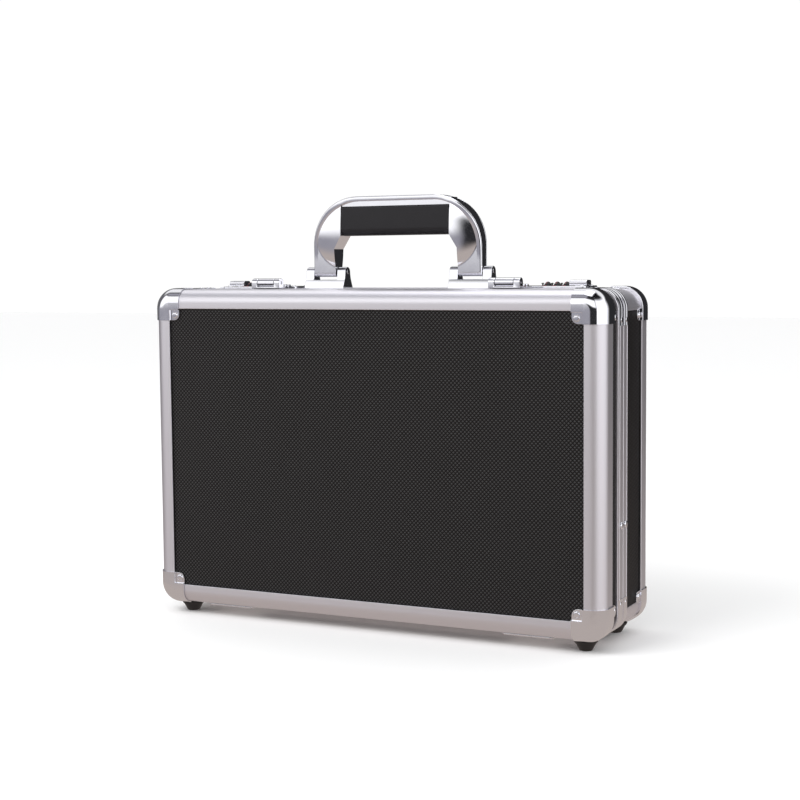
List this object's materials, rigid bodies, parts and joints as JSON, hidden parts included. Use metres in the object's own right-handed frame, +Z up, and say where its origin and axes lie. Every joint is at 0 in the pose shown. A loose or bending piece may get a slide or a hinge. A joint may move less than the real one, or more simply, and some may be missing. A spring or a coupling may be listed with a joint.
{
  "type": "attache case",
  "caption": "Hard attache case: black embossed shells in aluminium edge and rim profiles, chromed corner caps, folding handle, combination latches, stayed lid and rubber feet.",
  "frame": {"origin": "on the standing surface under the feet, midway across the width and the depth of the closed case", "axes": "+Z up towards the handle, +X along the width to the right seen from the lid's face, +Y from the lid's face to the base's rear face"},
  "size_m": [0.4532, 0.1248, 0.3945],
  "materials": {
    "anodised_aluminium": "extruded, satin anodised",
    "chromed_steel": "pressed and bright chromed",
    "chromed_zinc": "die-cast and bright chromed",
    "embossed_black_abs": "fine diamond emboss, semi-matt",
    "black_grip": "moulded with a fine leather grain",
    "black_rubber": "moulded, matt",
    "grey_lining": "short-pile lining cloth on board",
    "black_dial": "moulded, with red figures"
  },
  "bodies": {
    "base": {"rear_panel": "embossed_black_abs", "base_wall_frame": "embossed_black_abs", "base_rim": "anodised_aluminium", "base_lining": "grey_lining", "base_edge_top": "anodised_aluminium", "base_edge_bottom": "anodised_aluminium", "base_edge_left": "anodised_aluminium", "base_edge_right": "anodised_aluminium", "base_cap_top_left": "chromed_steel", "base_cap_bottom_left": "chromed_steel", "base_foot_left": "black_rubber", "base_hinge_leaf_left": "chromed_steel", "handle_bracket_left": "chromed_zinc", "handle_pin_left": "chromed_steel", "lock_body_left": "chromed_zinc", "base_cap_top_right": "chromed_steel", "base_cap_bottom_right": "chromed_steel", "base_foot_right": "black_rubber", "base_hinge_leaf_right": "chromed_steel", "handle_bracket_right": "chromed_zinc", "handle_pin_right": "chromed_steel", "lock_body_right": "chromed_zinc"},
    "lid": {"front_panel": "embossed_black_abs", "lid_wall_frame": "embossed_black_abs", "lid_rim": "anodised_aluminium", "lid_lining": "grey_lining", "lid_edge_top": "anodised_aluminium", "lid_edge_bottom": "anodised_aluminium", "lid_edge_left": "anodised_aluminium", "lid_edge_right": "anodised_aluminium", "lid_cap_top_left": "chromed_steel", "lid_cap_bottom_left": "chromed_steel", "lid_foot_left": "black_rubber", "lid_hinge_leaf_left": "chromed_steel", "hinge_pin_left": "chromed_steel", "hasp_base_left": "chromed_zinc", "hasp_pin_left": "chromed_steel", "lid_cap_top_right": "chromed_steel", "lid_cap_bottom_right": "chromed_steel", "lid_foot_right": "black_rubber", "lid_hinge_leaf_right": "chromed_steel", "hinge_pin_right": "chromed_steel", "hasp_base_right": "chromed_zinc", "hasp_pin_right": "chromed_steel"},
    "handle": {"handle_frame": "chromed_zinc", "handle_grip": "black_grip"},
    "hasp_left": {"hasp_left": "chromed_zinc"},
    "button_left": {"lock_button_left": "chromed_zinc"},
    "dial_left_1": {"dial_left_1": "black_dial"},
    "dial_left_2": {"dial_left_2": "black_dial"},
    "dial_left_3": {"dial_left_3": "black_dial"},
    "base_stay_left": {"base_stay_arm_left": "chromed_steel"},
    "lid_stay_left": {"lid_stay_arm_left": "chromed_steel"},
    "hasp_right": {"hasp_right": "chromed_zinc"},
    "button_right": {"lock_button_right": "chromed_zinc"},
    "dial_right_1": {"dial_right_1": "black_dial"},
    "dial_right_2": {"dial_right_2": "black_dial"},
    "dial_right_3": {"dial_right_3": "black_dial"},
    "base_stay_right": {"base_stay_arm_right": "chromed_steel"},
    "lid_stay_right": {"lid_stay_arm_right": "chromed_steel"}
  },
  "joints": [
    {"name": "lid_hinge", "type": "hinge", "parent": "base", "child": "lid", "pos_m": [0, -0.01125, 0.0085], "axis": [1, 0, 0], "range_deg": [0, 95]},
    {"name": "handle_pivot", "type": "hinge", "parent": "base", "child": "handle", "pos_m": [0, 0.01045, 0.3248], "axis": [1, 0, 0], "range_deg": [-85, 85]},
    {"name": "hasp_hinge_left", "type": "hinge", "parent": "lid", "child": "hasp_left", "pos_m": [-0.121, -0.02355, 0.3151], "axis": [1, 0, 0], "range_deg": [0, 110]},
    {"name": "hasp_hinge_right", "type": "hinge", "parent": "lid", "child": "hasp_right", "pos_m": [0.121, -0.02355, 0.3151], "axis": [1, 0, 0], "range_deg": [0, 110]},
    {"name": "button_slide_left", "type": "slide", "parent": "base", "child": "button_left", "axis": [-1, 0, 0], "range_m": [0, 0.005], "stiffness_N_per_m": 400, "springref_m": -0.002},
    {"name": "button_slide_right", "type": "slide", "parent": "base", "child": "button_right", "axis": [1, 0, 0], "range_m": [0, 0.005], "stiffness_N_per_m": 400, "springref_m": -0.002},
    {"name": "dial_turn_left_1", "type": "hinge", "parent": "base", "child": "dial_left_1", "pos_m": [-0.1455, 0.01525, 0.309], "axis": [1, 0, 0], "continuous": true},
    {"name": "dial_turn_left_2", "type": "hinge", "parent": "base", "child": "dial_left_2", "pos_m": [-0.1545, 0.01525, 0.309], "axis": [1, 0, 0], "continuous": true},
    {"name": "dial_turn_left_3", "type": "hinge", "parent": "base", "child": "dial_left_3", "pos_m": [-0.1635, 0.01525, 0.309], "axis": [1, 0, 0], "continuous": true},
    {"name": "dial_turn_right_1", "type": "hinge", "parent": "base", "child": "dial_right_1", "pos_m": [0.1455, 0.01525, 0.309], "axis": [1, 0, 0], "continuous": true},
    {"name": "dial_turn_right_2", "type": "hinge", "parent": "base", "child": "dial_right_2", "pos_m": [0.1545, 0.01525, 0.309], "axis": [1, 0, 0], "continuous": true},
    {"name": "dial_turn_right_3", "type": "hinge", "parent": "base", "child": "dial_right_3", "pos_m": [0.1635, 0.01525, 0.309], "axis": [1, 0, 0], "continuous": true},
    {"name": "base_stay_pivot_left", "type": "hinge", "parent": "base", "child": "base_stay_left", "pos_m": [-0.214, -0.00605, 0.106], "axis": [1, 0, 0], "range_deg": [0, 95]},
    {"name": "lid_stay_pivot_left", "type": "hinge", "parent": "lid", "child": "lid_stay_left", "pos_m": [-0.212, -0.01645, 0.106], "axis": [1, 0, 0], "range_deg": [-95, 0]},
    {"name": "base_stay_pivot_right", "type": "hinge", "parent": "base", "child": "base_stay_right", "pos_m": [0.214, -0.00605, 0.106], "axis": [1, 0, 0], "range_deg": [0, 95]},
    {"name": "lid_stay_pivot_right", "type": "hinge", "parent": "lid", "child": "lid_stay_right", "pos_m": [0.212, -0.01645, 0.106], "axis": [1, 0, 0], "range_deg": [-95, 0]}
  ],
  "couplings": [
    {"joint": "base_stay_pivot_left", "follows": "lid_hinge", "ratio": 1},
    {"joint": "lid_stay_pivot_left", "follows": "lid_hinge", "ratio": -1},
    {"joint": "base_stay_pivot_right", "follows": "lid_hinge", "ratio": 1},
    {"joint": "lid_stay_pivot_right", "follows": "lid_hinge", "ratio": -1}
  ]
}
